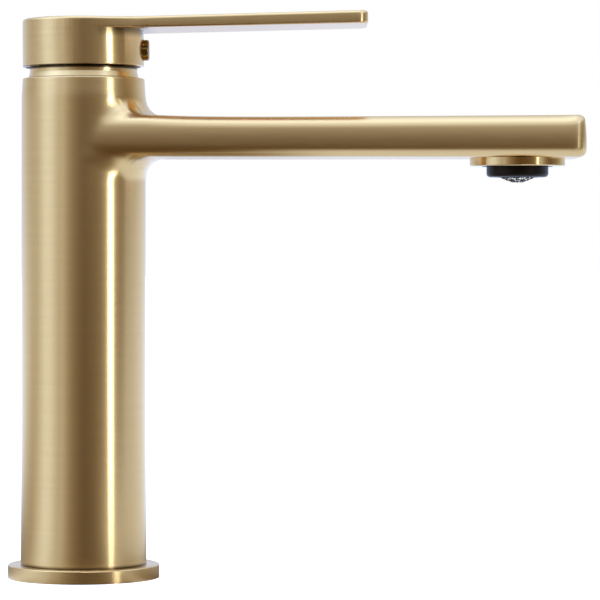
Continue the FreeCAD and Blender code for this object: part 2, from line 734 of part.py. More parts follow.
def make_screw_and_plug():
    """The grub screw that clamps the stem, and the domed plug that covers its hole."""
    screw = lean_over(new_body("handle_set_screw"))
    rod(screw, size.screw_radius, size.screw_length, (size.stem_half, 0, size.screw_level), ALONG_X)
    end = size.stem_half + size.screw_length
    drill(screw, size.screw_socket, size.screw_socket_depth + MARGIN,
          (end - size.screw_socket_depth, 0, size.screw_level), ALONG_X)

    plug = lean_over(new_body("indicator_plug"))
    rod(plug, size.plug_stem, size.plug_head_back - size.plug_stem_back,
        (size.plug_stem_back, 0, size.screw_level), ALONG_X)
    rod(plug, size.plug_radius, size.plug_face - size.plug_head_back,
        (size.plug_head_back, 0, size.screw_level), ALONG_X)
    front = size.plug_face.number - 0.01
    round_edges(plug, size.plug_dome, lambda edge: edge.BoundBox.XMin > front)


def blade_underside(edge, flank, waist):
    """Whether an edge borders the blade's underside outside the cap."""
    points = edge.discretize(7)
    taper = (size.blade_half.number - size.blade_tip_half.number) / (size.blade_tip.number - waist)
    corner = size.blade_tip.number - size.blade_corner.number - 0.1

    def half(x):
        near_cap = flank - size.blade_slope.number * (x - size.cap_offset.number)
        return near_cap if x < waist else size.blade_half.number - taper * (x - waist)

    low = all(p.z < size.blade_tip_under.number + 0.01 for p in points)
    outer = all(abs(p.y) + 0.2 > half(p.x) or p.x > corner for p in points)
    return low and outer and not upright(edge)


# ---------------------------------------------------------------- the whole mixer

for make in (make_casting, make_base, make_cartridge_shell, make_neck_ring, make_collar, make_aerator,
             make_rotor, make_moving_disc, make_stem, make_handle, make_screw_and_plug):
    make()
document.recompute()

for item in document.Objects:
    if "Invalid" in item.State or "Error" in item.State:
        raise ValueError("%s did not build" % item.Label)
for piece in sub_parts:
    if piece.Shape.isNull() or not piece.Shape.isValid() or len(piece.Shape.Solids) != 1:
        raise ValueError("%s is not one good solid" % piece.Label)

os.makedirs("parts", exist_ok=True)
for piece in sub_parts:
    piece.Shape.exportStep("parts/%s.step" % piece.Label)
    print("%-26s %9.1f mm3" % (piece.Label, piece.Shape.Volume))
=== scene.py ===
import math

import bmesh
import bpy
import numpy as np
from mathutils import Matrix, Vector


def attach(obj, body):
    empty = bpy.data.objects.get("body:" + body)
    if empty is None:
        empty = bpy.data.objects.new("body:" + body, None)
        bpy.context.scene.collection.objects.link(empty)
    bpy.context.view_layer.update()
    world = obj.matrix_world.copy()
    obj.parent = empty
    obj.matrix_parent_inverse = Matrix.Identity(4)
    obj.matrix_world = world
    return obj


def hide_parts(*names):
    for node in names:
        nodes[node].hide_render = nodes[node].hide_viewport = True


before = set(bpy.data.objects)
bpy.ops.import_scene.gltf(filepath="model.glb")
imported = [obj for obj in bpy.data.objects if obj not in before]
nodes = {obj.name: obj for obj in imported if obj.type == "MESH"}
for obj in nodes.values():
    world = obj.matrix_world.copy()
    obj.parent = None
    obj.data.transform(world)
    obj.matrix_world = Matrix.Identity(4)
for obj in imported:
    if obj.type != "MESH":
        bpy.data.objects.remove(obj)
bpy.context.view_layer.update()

MM = 0.001  # the skins are worked out in millimetres, and the scene is in metres
CAMERA_PLACE = (0.07875, -1.128, 0.1196)
CAMERA_LENS = 185.9
CAMERA_SHIFT = -0.0862


def ease(value, low, high):
    """A smooth step from 0 at low to 1 at high."""
    t = np.clip((value - low) / (high - low), 0.0, 1.0)
    return t * t * (3 - 2 * t)


def object_of(name, bm):
    """Turn a finished bmesh into an object in the scene."""
    mesh = bpy.data.meshes.new(name)
    bm.to_mesh(mesh)
    bm.free()
    made = bpy.data.objects.new(name, mesh)
    bpy.context.scene.collection.objects.link(made)
    return made


# ---------------------------------------------------------------- the casting's skin, in millimetres

FOOT_TOP, RIM_TOP, COLUMN_RADIUS = 4.8, 181.3, 22.5
COLUMN_PROFILE = ((FOOT_TOP, 22.85), (60.0, COLUMN_RADIUS), (174.5, COLUMN_RADIUS), (RIM_TOP, 22.1))
SPOUT_TIP, SPOUT_MIDDLE, SPOUT_BOTTOM = 181.8, 157.6, 152.4
SPOUT_CORNER, SPOUT_TAPER = 5.0, 0.0155
# Radii along the spout's sides and at its tip: the side's own bulge, and the edges above and below it
SIDE_BULGE, TOP_EDGE, BOTTOM_EDGE = (38.0, 64.0), (4.0, 1.6), (3.7, 2.2)
# How far the root spreads over the spout, how much more in front of the column, and how far under the spout
ROOT_ABOVE, ROOT_AHEAD, ROOT_BELOW = 5.0, 3.5, 9.0
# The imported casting's inside faces lie within these: a water way in the spout and a bore in the column
WATERWAY_FROM, WATERWAY_END, WATERWAY_TOP, WATERWAY_HALF, BORE_WALL = 20.5, 175.0, 165.5, 16.0, 21.75
JOIN_X, JOIN_STEPS, SPOUT_STEPS, CORNER_STEPS = 46.0, 26, 62, 9
CORNER_RISE, CORNER_DROP = 2.3, 1.6
AERATOR_X, AERATOR_CUT, AERATOR_TOP = 157.9, 16.2, 154.0
RIM_ROUND, RIM_STEPS = 0.5, 5
TURN_STEPS, WINDOW_STEPS, SIDE_STEPS = 192, 47, 26
WINDOW_LOW, WINDOW_HIGH = 143.0, 176.5
SETTLED_BELOW, SETTLE_ROUNDS = 180.0, 14


def column_radius(z):
    """The column's radius at a height: a slight flare at the foot and the rim."""
    heights, radii = zip(*COLUMN_PROFILE)
    return np.interp(z, heights, radii)


def spout_half(x):
    """Half the spout's width, which narrows to the tip."""
    return 22.3 - SPOUT_TAPER * x


def spout_top(x):
    """The spout's top falls away from the column, then climbs gently to the tip."""
    climb = np.interp(x, (38.3, SPOUT_TIP), (166.5, 167.6))
    return climb + 1.2 * np.exp(-np.clip(x - COLUMN_RADIUS, 0, None) / 20.0)


def between(pair, share):
    """A value that runs from the first of a pair to the second."""
    return pair[0] + (pair[1] - pair[0]) * share


def rounded(a, b, radius):
    """Two faces that meet in a round edge: negative inside both."""
    a, b = a + radius, b + radius
    outside = np.hypot(np.clip(a, 0, None), np.clip(b, 0, None))
    return outside + np.clip(np.maximum(a, b), None, 0) - radius


def spout(p):
    """Distance from the spout: a flat bar with soft, slightly barrelled sides and a rounded tip."""
    x, y, z = p.T
    side = np.abs(y) - spout_half(x)
    end = x - SPOUT_TIP
    at_end = ease(end - side, -6.0, 6.0)
    plan = rounded(side, end, SPOUT_CORNER) + (z - SPOUT_MIDDLE) ** 2 / (2 * between(SIDE_BULGE, at_end))
    above = rounded(plan, z - spout_top(x), between(TOP_EDGE, at_end))
    below = rounded(plan, SPOUT_BOTTOM - z, between(BOTTOM_EDGE, at_end))
    return np.where(z > SPOUT_MIDDLE, above, below)


def slope_of(field, p, step):
    """The gradient of a field by central differences."""
    sides = []
    for axis in range(3):
        shift = np.zeros(3)
        shift[axis] = step
        sides.append((field(p + shift) - field(p - shift)) / (2 * step))
    return np.stack(sides, axis=1)


def casting(p):
    """Column and spout run together with a soft root, tight where the flanks graze the column.

    Behind x = 3 the bar draws in, so that it ends inside the column.
    """
    x, y, z = p.T
    out = np.hypot(x, y) + 1e-9
    column = out - column_radius(z)
    bar = spout(p) + 30 * ease(3.0 - x, 0.0, 30.0)
    facing = slope_of(spout, p, 0.02)
    facing /= np.linalg.norm(facing, axis=1, keepdims=True) + 1e-9
    along = (facing[:, 0] * x + facing[:, 1] * y) / out
    above = ROOT_ABOVE + ROOT_AHEAD * np.clip(x / out, 0, 1) ** 2
    reach = np.where(z > SPOUT_MIDDLE, above, ROOT_BELOW) * np.clip(1 - along, 0.02, 1.0)
    overlap = np.clip(reach - np.abs(column - bar), 0, None)
    return np.minimum(column, bar) - overlap ** 2 / (4 * reach)


def settle(p, rounds):
    """Move points to the casting's surface along its slope."""
    for _ in range(rounds):
        slope = slope_of(casting, p, 0.05)
        step = casting(p)[:, None] * slope / (np.sum(slope * slope, axis=1, keepdims=True) + 1e-9)
        length = np.linalg.norm(step, axis=1, keepdims=True)
        p = p - step * np.minimum(1.0, 1.5 / (length + 1e-9))
    return p


def box_loop(half, low, high):
    """Points round a box, as (y, z): along the top, down, back along the bottom and up."""
    points = []
    corners = ((-half, high), (half, high), (half, low), (-half, low))
    for index, count in enumerate((2 * WINDOW_STEPS, SIDE_STEPS, 2 * WINDOW_STEPS, SIDE_STEPS)):
        start, end = corners[index], corners[(index + 1) % 4]
        for step in range(count):
            s = step / count
            s = 0.5 * s + 0.25 * (1 - math.cos(math.pi * s))
            points.append((start[0] + (end[0] - start[0]) * s, start[1] + (end[1] - start[1]) * s))
    return np.array(points)


class Net:
    """Rows of points and the faces between them."""

    def __init__(self):
        self.points, self.faces, self.count = [], [], 0

    def add(self, points):
        """Take in points and return their numbers."""
        self.points.append(np.asarray(points, float))
        first = self.count
        self.count += len(points)
        return np.arange(first, self.count)

    def band(self, lower, upper, closed=True):
        """Faces between two rows of the same length."""
        last = len(lower) if closed else len(lower) - 1
        for i in range(last):
            j = (i + 1) % len(lower)
            self.faces.append((lower[i], lower[j], upper[j], upper[i]))


def circle(net, angles, radius, z):
    """A level row of points round the column's axis."""
    level = np.full(len(angles), z)
    return net.add(np.column_stack([radius * np.cos(angles), radius * np.sin(angles), level]))


def column_rows(net, angles, levels, bottom, top):
    """The column's turned wall, with a window left open on the spout's side from row bottom to row top."""
    rows = [circle(net, angles, column_radius(z), z) for z in levels]
    for k in range(len(rows) - 1):
        for i in range(TURN_STEPS):
            signed = i if i < TURN_STEPS // 2 else i - TURN_STEPS
            if bottom <= k < top and -WINDOW_STEPS <= signed < WINDOW_STEPS:
                continue
            j = (i + 1) % TURN_STEPS
            net.faces.append((rows[k][i], rows[k][j], rows[k + 1][j], rows[k + 1][i]))
    return rows


def window_edge(rows, bottom, top):
    """The window's edge: along its top, down, back along its bottom and up."""
    edge = [rows[top][i] for i in range(-WINDOW_STEPS, WINDOW_STEPS)]
    edge += [rows[k][WINDOW_STEPS] for k in range(top, bottom, -1)]
    edge += [rows[bottom][i] for i in range(WINDOW_STEPS, -WINDOW_STEPS, -1)]
    edge += [rows[k][-WINDOW_STEPS] for k in range(bottom, top)]
    return np.array(edge)


def spout_loop(x, inset=0.0):
    """Points round the spout at a place along it, drawn in where it turns the corner to its tip."""
    loop = box_loop(spout_half(x) - SPOUT_CORNER * inset, SPOUT_BOTTOM + CORNER_RISE * inset,
                    spout_top(x) - CORNER_DROP * inset)
    return np.column_stack([np.full(len(loop), x), loop])


def spout_rows(start):
    """Rows of points from the window's edge, along the spout and round its corner."""
    goal = spout_loop(JOIN_X)
    for step in range(1, JOIN_STEPS + 1):
        yield start + (goal - start) * (step / JOIN_STEPS)
    flat_end = SPOUT_TIP - SPOUT_CORNER
    for x in np.linspace(JOIN_X, flat_end, SPOUT_STEPS)[1:]:
        yield spout_loop(x)
    for step in range(1, CORNER_STEPS + 1):
        angle = math.pi / 2 * step / CORNER_STEPS
        yield spout_loop(flat_end + SPOUT_CORNER * math.sin(angle), 1 - math.cos(angle))


def close_tip(net, ring):
    """The spout's end face, as rows of points inside its last ring."""
    wide, tall = 2 * WINDOW_STEPS, SIDE_STEPS
    edge = np.concatenate(net.points)[ring]
    top_edge, bottom_edge = edge[:wide + 1], edge[wide + tall:2 * wide + tall + 1][::-1]
    near_side = ring[np.arange(2 * wide + 2 * tall, 2 * wide + tall - 1, -1) % len(ring)]
    far_side = ring[wide:wide + tall + 1]
    grid = [ring[:wide + 1]]
    for k in range(1, tall):
        line = top_edge + (bottom_edge - top_edge) * (k / tall)
        middle = net.add(line[1:-1])
        grid.append(np.concatenate([[near_side[k]], middle, [far_side[k]]]))
    grid.append(ring[wide + tall:2 * wide + tall + 1][::-1])
    for upper, lower in zip(grid, grid[1:]):
        net.band(lower, upper, closed=False)


def skin_net():
    """The casting's outside: the column's turned wall with a window, and the spout that grows out of it."""
    net = Net()
    angles = np.arange(TURN_STEPS) * 2 * math.pi / TURN_STEPS
    low_rows = np.concatenate([np.linspace(FOOT_TOP, 120, 30), np.linspace(122, WINDOW_LOW, 12)])
    side_rows = np.linspace(WINDOW_LOW, WINDOW_HIGH, SIDE_STEPS + 1)[1:]
    rim_start = RIM_TOP - RIM_ROUND
    top_rows = np.linspace(WINDOW_HIGH, rim_start, 6)[1:]
    bottom, top = len(low_rows) - 1, len(low_rows) - 1 + SIDE_STEPS
    rows = column_rows(net, angles, np.concatenate([low_rows, side_rows, top_rows]), bottom, top)
    ring = window_edge(rows, bottom, top)
    for row in spout_rows(np.concatenate(net.points)[ring]):
        following = net.add(row)
        net.band(following, ring)
        ring = following
    close_tip(net, ring)

    points = np.concatenate(net.points)
    free = points[:, 2] < SETTLED_BELOW
    points[free] = settle(points[free], SETTLE_ROUNDS)
    net.points = [points]
    ring = rows[-1]
    for step in range(1, RIM_STEPS + 1):
        angle = math.pi / 2 * step / RIM_STEPS
        following = circle(net, angles, column_radius(rim_start) - RIM_ROUND * (1 - math.cos(angle)),
                           rim_start + RIM_ROUND * math.sin(angle))
        net.band(ring, following)
        ring = following
    return net


def inside_faces(mesh):
    """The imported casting's faces that aren't its outside: bore, hose space, lug, inlets and water ways."""
    kept = []
    for face in mesh.polygons:
        x, y, z = (value / MM for value in face.center)
        if x > WATERWAY_FROM:
            below = z < SPOUT_BOTTOM + 0.05
            outer = below or z > WATERWAY_TOP or abs(y) > WATERWAY_HALF or x > WATERWAY_END
        else:
            outer = z > FOOT_TOP - 0.2 and math.hypot(x, y) > BORE_WALL
        if not outer:
            kept.append(face)
    return kept


def make_casting_skin():
    """The smooth outside with the aerator's hole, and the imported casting's inside."""
    net = skin_net()
    points = np.concatenate(net.points)
    bm = bmesh.new()
    verts = [bm.verts.new(point * MM) for point in points]
    in_reach = np.hypot(points[:, 0] - AERATOR_X, points[:, 1]) < AERATOR_CUT
    near_hole = in_reach & (points[:, 2] < AERATOR_TOP)
    for face in net.faces:
        if not all(near_hole[i] for i in face):
            bm.faces.new([verts[i] for i in face]).smooth = True
    old = nodes["body_casting"].data
    places = {}
    for face in inside_faces(old):
        corners = []
        for index in face.vertices:
            key = tuple(round(c, 7) for c in old.vertices[index].co)
            if key not in places:
                places[key] = bm.verts.new(old.vertices[index].co)
            corners.append(places[key])
        if len(set(corners)) == len(corners):
            bm.faces.new(corners).smooth = False
    loose = [v for v in bm.verts if not v.link_faces]
    bmesh.ops.delete(bm, geom=loose, context="VERTS")
    skin = object_of("casting_skin", bm)
    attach(skin, "fixed")
    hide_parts("body_casting")
    return skin


casting_skin = make_casting_skin()


# ---------------------------------------------------------------- the handle's skin

BLADE_ROOT, BLADE_LENGTH, BLADE_HALF = 22.5, 81.0, 17.5
BLADE_UNDER, UNDER_CLIMB = 198.70, 0.0222
BEND, CAP_INSIDE, INSIDE_TOP = 11.5, 21.0, 200.0
CUT_CLIMB, CUT_GAP, CUT_ROWS = 0.0235, 0.62, 6
SLICE_FROM, SLICE_GAP, SLICES = -20.0, 4.5, 28


def handle_top(x):
    """The top's own line: level over the cap, then climbing along the blade."""
    past = np.clip(x - BEND, 0, None)
    return 202.72 + 0.0302 * past ** 2 / (past + 6.0)


def bent(place):
    """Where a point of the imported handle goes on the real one's bent top and rolled flanks."""
    x, y, z = place
    under = BLADE_UNDER + UNDER_CLIMB * (x - 22)
    if z < under - 0.05:
        return place
    flat_top = 202.8 + 0.0245 * x
    share = min(1.0, max(0.0, (z - under) / (flat_top - under)))
    if math.hypot(x, y) >= CAP_INSIDE or z >= INSIDE_TOP:
        z += (float(handle_top(x)) - flat_top) * share
    roll = float(ease(x, 4.0, 20.0))
    limit = BLADE_HALF - 1.9 * min(1.0, max(0.0, (x - BLADE_ROOT) / BLADE_LENGTH))
    near_side = max(0.0, 1 - max(0.0, limit - abs(y)) / 3.5)
    y -= math.copysign(roll * near_side * 0.28 * share ** 2, y)
    return Vector((x, y, z))


def slice_through(bm, place, normal):
    """Add an edge loop where a plane crosses the mesh."""
    geometry = list(bm.verts) + list(bm.edges) + list(bm.faces)
    bmesh.ops.bisect_plane(bm, geom=geometry, plane_co=place, plane_no=normal, dist=1e-6)


def make_handle_skin():
    """The handle with the bend of its top and the soft, rolled-over sides of its blade."""
    bm = bmesh.new()
    bm.from_mesh(nodes["lever_handle"].data)
    bmesh.ops.remove_doubles(bm, verts=bm.verts, dist=1e-6)
    for k in range(1, CUT_ROWS + 1):
        slice_through(bm, (0.022, 0, (198.72 + CUT_GAP * k) * MM), (-CUT_CLIMB, 0, 1))
    for k in range(SLICES):
        slice_through(bm, ((SLICE_FROM + SLICE_GAP * k) * MM, 0, 0), (1, 0, 0))
    for vert in bm.verts:
        vert.co = bent(vert.co / MM) * MM
    for face in bm.faces:
        face.smooth = True
    skin = object_of("handle_skin", bm)
    skin.data.set_sharp_from_angle(angle=math.radians(28))
    even = skin.modifiers.new("even_shading", "WEIGHTED_NORMAL")
    even.keep_sharp = True
    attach(skin, "lever")
    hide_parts("lever_handle")
    return skin


handle_skin = make_handle_skin()


# ---------------------------------------------------------------- the aerator's woven screen

SCREEN_RADIUS, SCREEN_PITCH, WIRE_RADIUS, WIRE_SIDES = 7.15, 1.90, 0.17, 6
SCREEN_BOTTOM, SCREEN_RISE, WEAVE = 143.72, 2.55, 0.16


def wire_rings(line, turned):
    """The middle points along one wire of the dome, from edge to edge."""
    offset = line * SCREEN_PITCH
    half = math.sqrt(max(0.0, SCREEN_RADIUS ** 2 - offset ** 2))
    steps = max(4, int(half / 0.35))
    for step in range(-steps, steps + 1):
        along = half * step / steps
        weave = WEAVE * math.cos(math.pi * (along / SCREEN_PITCH + line + (1 if turned else 0)))
        x, y = (offset, along) if turned else (along, offset)
        rise = SCREEN_RISE * (x * x + y * y) / SCREEN_RADIUS ** 2
        yield Vector((AERATOR_X + x, y, SCREEN_BOTTOM + rise + weave))


def make_screen():
    """A dome of crossing wires, held in the knob's mouth."""
    bm = bmesh.new()
    count = int(SCREEN_RADIUS / SCREEN_PITCH)
    corners = [math.tau * corner / WIRE_SIDES for corner in range(WIRE_SIDES)]
    for turned in (False, True):
        side = Vector((1, 0, 0)) if turned else Vector((0, 1, 0))
        for line in range(-count, count + 1):
            previous = None
            for centre in wire_rings(line, turned):
                offsets = [side * math.cos(a) + Vector((0, 0, math.sin(a))) for a in corners]
                ring = [bm.verts.new((centre + offset * WIRE_RADIUS) * MM) for offset in offsets]
                if previous:
                    for corner in range(WIRE_SIDES):
                        after = (corner + 1) % WIRE_SIDES
                        wall = (previous[corner], previous[after], ring[after], ring[corner])
                        bm.faces.new(wall).smooth = True
                previous = ring
    bmesh.ops.recalc_face_normals(bm, faces=bm.faces)
    screen = object_of("woven_screen", bm)
    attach(screen, "aerator")
    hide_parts("aerator_mesh")
    return screen


woven_screen = make_screen()


# ---------------------------------------------------------------- node helpers

def new_material(name):
    """A node material, with its tree and its principled shader."""
    material = bpy.data.materials.new(name)
    material.use_nodes = True
    tree = material.node_tree
    shader = tree.nodes["Principled BSDF"]
    return material, tree, shader


def node(tree, kind, operation=None, **inputs):
    """A shader node; an input is a number, a vector or another node's socket, by name or as i0, i1, i2."""
    made = tree.nodes.new("ShaderNode" + kind)
    if operation:
        made.operation = operation
    for key, value in inputs.items():
        socket = made.inputs[int(key[1:])] if key[0] == "i" and key[1:].isdigit() else made.inputs[key]
        if isinstance(value, bpy.types.NodeSocket):
            tree.links.new(value, socket)
        else:
            socket.default_value = value
    return made


def math_node(tree, operation, *values):
    """The socket that gives a sum of numbers or sockets."""
    return node(tree, "Math", operation, **{"i%d" % i: v for i, v in enumerate(values)}).outputs[0]


def vector_node(tree, operation, *values):
    """The socket that gives a sum of vectors."""
    made = node(tree, "VectorMath", operation, **{"i%d" % i: v for i, v in enumerate(values)})
    return made.outputs["Vector"]


def scaled(tree, vector, factor):
    """A vector or colour times a number."""
    return node(tree, "VectorMath", "SCALE", i0=vector, Scale=factor).outputs["Vector"]


def smooth_range(tree, value, low, high):
    """0 below low, 1 above high, and a smooth step between."""
    made = node(tree, "MapRange", Value=value)
    made.interpolation_type = "SMOOTHSTEP"
    made.inputs["From Min"].default_value = low
    made.inputs["From Max"].default_value = high
    return made.outputs["Result"]


def patch(tree, value, rise, fall):
    """1 between two ranges and 0 beyond them; each range gives where it is 0, then where it is 1."""
    return math_node(tree, "MULTIPLY", smooth_range(tree, value, *rise), smooth_range(tree, value, *fall))


def mix_value(tree, factor, first, second):
    """first where the factor is 0, second where it is 1."""
    span = math_node(tree, "SUBTRACT", second, first)
    return math_node(tree, "MULTIPLY_ADD", span, factor, first)


# ---------------------------------------------------------------- brushed gold

GOLD = (0.80, 0.54, 0.235)
JOINT_SHADE, CORNER_SHADE = 0.12, 0.30
# Heights in metres where two pieces meet, for the painted shadow in each joint: where the gold is dark, then
# where it is clear again
FOOT_JOINT_SHADOW, CAP_JOINT_SHADOW = (0.0048, 0.0062), (0.1854, 0.1859)
RING_JOINT_SHADOWS = ((0.1848, 0.1842), (0.1812, 0.1817))
# The painted shade in the corner between cap and blade: ranges of height, then of place along X
CORNER_SHADE_HEIGHTS = ((0.1950, 0.1985), (0.1990, 0.1987))
CORNER_SHADE_PLACES = ((0.004, 0.011), (0.036, 0.022))


def shaded(colour, factor):
    """A colour made darker or lighter, with full alpha."""
    return tuple(min(1.0, part * factor) for part in colour) + (1.0,)


def streaks(tree, place, scale, detail=4.0):
    """Noise drawn out into fine streaks: the scale is small along the brushing and large across it."""
    stretched = vector_node(tree, "MULTIPLY", place, scale)
    made = node(tree, "TexNoise", Vector=stretched, Scale=1.0, Detail=detail, Roughness=0.6)
    return made.outputs["Fac"]


def brushed_gold(name, along_x_from=None, above=0.0, joints=()):
    """Gold brushed round the column's axis and, past along_x_from and above a level, along X.

    Each joint's painted shadow is a dark level and the level where it has faded out.
    """
    material, tree, shader = new_material(name)
    place = node(tree, "TexCoord").outputs["Object"]
    parts = node(tree, "SeparateXYZ", Vector=place).outputs
    flat = vector_node(tree, "MULTIPLY", place, (1, 1, 0))
    outward = vector_node(tree, "NORMALIZE", flat)
    height = vector_node(tree, "MULTIPLY", place, (0, 0, 1))
    unrolled = vector_node(tree, "ADD", scaled(tree, outward, COLUMN_RADIUS * MM), height)
    around_fine = streaks(tree, unrolled, (90, 90, 5200))
    around_broad = streaks(tree, unrolled, (35, 35, 900), 3.0)
    around = vector_node(tree, "CROSS_PRODUCT", (0, 0, 1), outward)
    if along_x_from is None:
        fine, broad, brushing = around_fine, around_broad, around
    else:
        along_fine = streaks(tree, place, (90, 4200, 4200))
        along_broad = streaks(tree, place, (30, 800, 800), 3.0)
        past = smooth_range(tree, parts["X"], along_x_from, along_x_from + 0.012)
        high = smooth_range(tree, parts["Z"], above, above + 0.0006)
        mask = math_node(tree, "MULTIPLY", past, high)
        fine = mix_value(tree, mask, around_fine, along_fine)
        broad = mix_value(tree, mask, around_broad, along_broad)
        keep = scaled(tree, around, math_node(tree, "SUBTRACT", 1.0, mask))
        along = node(tree, "CombineXYZ", X=mask).outputs["Vector"]
        brushing = vector_node(tree, "ADD", keep, along)
    surface = node(tree, "NewGeometry").outputs["Normal"]
    across = vector_node(tree, "CROSS_PRODUCT", brushing, surface)
    tree.links.new(across, shader.inputs["Tangent"])
    tone = mix_value(tree, 0.5, fine, broad)
    ramp = tree.nodes.new("ShaderNodeValToRGB")
    ramp.color_ramp.elements[0].position = 0.30
    ramp.color_ramp.elements[1].position = 0.70
    ramp.color_ramp.elements[0].color = shaded(GOLD, 0.96)
    ramp.color_ramp.elements[1].color = shaded(GOLD, 1.04)
    tree.links.new(tone, ramp.inputs["Fac"])
    # Painted shadow: the gold is darkened towards each joint where two pieces meet.
    shade = 1.0
    for dark, clear in joints:
        shade = math_node(tree, "MULTIPLY", smooth_range(tree, parts["Z"], dark, clear), shade)
    tree.links.new(scaled(tree, ramp.outputs["Color"], mix_value(tree, shade, JOINT_SHADE, 1.0)),
                   shader.inputs["Base Color"])
    shader.inputs["Metallic"].default_value = 1.0
    rough = node(tree, "MapRange", Value=fine)
    rough.inputs["To Min"].default_value = 0.21
    rough.inputs["To Max"].default_value = 0.28
    tree.links.new(rough.outputs["Result"], shader.inputs["Roughness"])
    shader.inputs["Anisotropic"].default_value = 0.75
    bump = node(tree, "Bump", Height=fine, Strength=0.07, Distance=0.00002)
    tree.links.new(bump.outputs["Normal"], shader.inputs["Normal"])
    return material


def shade_below_blade(material):
    """Paint shade on the cap and the blade's underside in the corner where they meet."""
    tree = material.node_tree
    shader = tree.nodes["Principled BSDF"]
    gold = shader.inputs["Base Color"].links[0].from_socket
    place = node(tree, "TexCoord").outputs["Object"]
    parts = node(tree, "SeparateXYZ", Vector=place).outputs
    corner = math_node(tree, "MULTIPLY", patch(tree, parts["Z"], *CORNER_SHADE_HEIGHTS),
                       patch(tree, parts["X"], *CORNER_SHADE_PLACES))
    # Painted shade: the gold is darkened in the corner under the blade.
    darker = scaled(tree, gold, mix_value(tree, corner, 1.0, CORNER_SHADE))
    tree.links.new(darker, shader.inputs["Base Color"])


def polished_gold(name, colour=GOLD, roughness=0.12):
    """Polished gold with faint turning marks."""
    material, tree, shader = new_material(name)
    place = node(tree, "TexCoord").outputs["Object"]
    haze = streaks(tree, place, (160, 160, 2600), 3.0)
    rough = node(tree, "MapRange", Value=haze)
    rough.inputs["To Min"].default_value = roughness - 0.04
    rough.inputs["To Max"].default_value = roughness + 0.06
    tree.links.new(rough.outputs["Result"], shader.inputs["Roughness"])
    shader.inputs["Base Color"].default_value = shaded(colour, 1.0)
    shader.inputs["Metallic"].default_value = 1.0
    return material


def moulded(name, colour, roughness=0.45, grain=1400.0, metallic=0.0, shine=0.5, glow=(1, 1, 1)):
    """Moulded plastic, rubber or ceramic with a fine grain."""
    material, tree, shader = new_material(name)
    place = node(tree, "TexCoord").outputs["Object"]
    speckle = node(tree, "TexNoise", Vector=place, Scale=grain, Detail=3.0).outputs["Fac"]
    ramp = tree.nodes.new("ShaderNodeValToRGB")
    ramp.color_ramp.elements[0].color = shaded(colour, 0.85)
    ramp.color_ramp.elements[1].color = shaded(colour, 1.15)
    tree.links.new(speckle, ramp.inputs["Fac"])
    tree.links.new(ramp.outputs["Color"], shader.inputs["Base Color"])
    shader.inputs["Roughness"].default_value = roughness
    shader.inputs["Metallic"].default_value = metallic
    shader.inputs["Specular IOR Level"].default_value = shine
    shader.inputs["Specular Tint"].default_value = shaded(glow, 1.0)
    bump = node(tree, "Bump", Height=speckle, Strength=0.2, Distance=0.00003)
    tree.links.new(bump.outputs["Normal"], shader.inputs["Normal"])
    return material


def dress(material, *names):
    """Give CAD nodes a better material."""
    for name in names:
        mesh = nodes[name].data
        if not mesh.materials:
            mesh.materials.append(material)
        for index in range(len(mesh.materials)):
            mesh.materials[index] = material


body_gold = brushed_gold("brushed_gold_body", along_x_from=0.022, joints=(FOOT_JOINT_SHADOW,))
dress(body_gold, "body_casting")
casting_skin.data.materials.append(body_gold)
handle_gold = brushed_gold("brushed_gold_handle", along_x_from=0.006, above=0.1982, joints=(CAP_JOINT_SHADOW,))
shade_below_blade(handle_gold)
dress(handle_gold, "lever_handle")
handle_skin.data.materials.append(handle_gold)
dress(brushed_gold("brushed_gold_flange"), "base_flange")
dress(brushed_gold("brushed_gold_neck", joints=RING_JOINT_SHADOWS), "neck_ring")
dress(polished_gold("polished_gold"), "aerator_collar")
# Painted shade: the indicator plug is gold, made dark all over for the shadow round it in its hole and the
# dark it mirrors.
dress(polished_gold("shade_darkened_gold", (0.34, 0.22, 0.08), 0.10), "indicator_plug")
dress(moulded("black_rubber", (0.015, 0.015, 0.015), 0.6), "base_gasket", "hot_inlet_seal",
      "cold_inlet_seal", "housing_seal", "aerator_washer")
dress(moulded("black_plastic", (0.006, 0.005, 0.004), 0.4, shine=0.25, glow=(1, 0.72, 0.5)),
      "aerator_knob", "aerator_socket")
dress(moulded("white_ceramic", (0.82, 0.81, 0.78), 0.2), "fixed_ceramic_disc", "moving_ceramic_disc")
dress(moulded("cartridge_plastic", (0.66, 0.67, 0.68), 0.4), "cartridge_base", "cartridge_housing",
      "spindle_rotor", "disc_coupler")
dress(moulded("red_plastic", (0.55, 0.05, 0.04), 0.4), "temperature_limit_ring")
dress(polished_gold("machined_brass", (0.72, 0.52, 0.24), 0.25), "cartridge_nut", "lever_stem")
dress(moulded("bright_steel", (0.55, 0.55, 0.56), 0.25, 900.0, 1.0), "spindle_pin", "handle_set_screw")
screen_steel = moulded("screen_steel", (0.05, 0.048, 0.05), 0.4, 900.0)
dress(screen_steel, "aerator_mesh", "aerator_inlet_screen")
woven_screen.data.materials.append(screen_steel)
dress(moulded("white_plastic", (0.75, 0.75, 0.74), 0.4), "aerator_jet_disc")


# ---------------------------------------------------------------- studio

